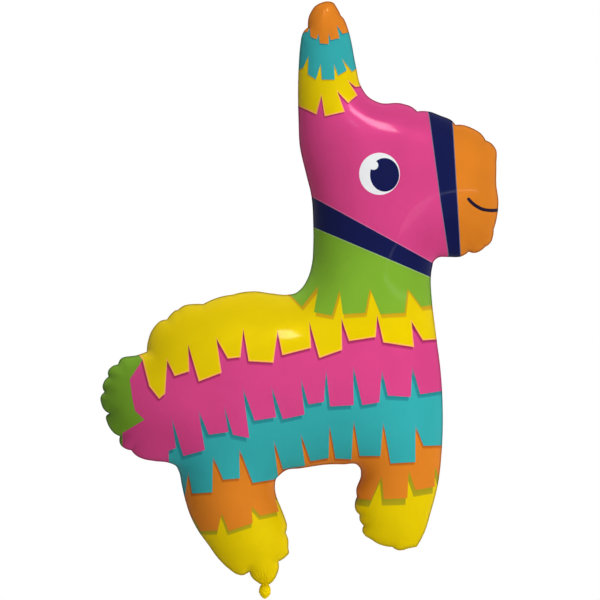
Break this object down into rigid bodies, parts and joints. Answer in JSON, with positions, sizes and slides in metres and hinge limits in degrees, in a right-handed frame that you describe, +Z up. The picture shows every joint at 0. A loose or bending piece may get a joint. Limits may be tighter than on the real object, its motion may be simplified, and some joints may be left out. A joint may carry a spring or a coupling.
{
  "type": "foil balloon",
  "caption": "Donkey-shaped foil balloon with a printed fringe, heat-sealed puckered edge and a knotted filling neck that takes a ribbon.",
  "frame": {"origin": "centre of the tied waist of the filling neck, under the hind foot", "axes": "+X to the right as seen from the front, towards the snout; +Z up, towards the ear; -Y is the front the picture shows"},
  "size_m": [0.5927, 0.226, 0.8915],
  "materials": {
    "printed_foil": "satin-gloss printed metallised film",
    "seal_margin": "flat welded film, printed to its edge",
    "valve_film": "clear polyethylene film",
    "neck_foil": "gathered yellow film"
  },
  "bodies": {
    "balloon": {"front_foil": "printed_foil", "back_foil": "printed_foil", "heat_seal": "seal_margin", "valve_front_film": "valve_film", "valve_back_film": "valve_film"},
    "neck": {"neck_pinch": "neck_foil"},
    "knot": {"tail_knot": "neck_foil"}
  },
  "joints": [
    {"name": "neck_fold", "type": "hinge", "parent": "balloon", "child": "neck", "pos_m": [0, 0, -0.0068], "axis": [1, 0, 0], "range_deg": [-45, 45]},
    {"name": "knot_swing", "type": "hinge", "parent": "neck", "child": "knot", "pos_m": [0, 0, -0.0068], "axis": [0, 1, 0], "range_deg": [-45, 45]}
  ]
}
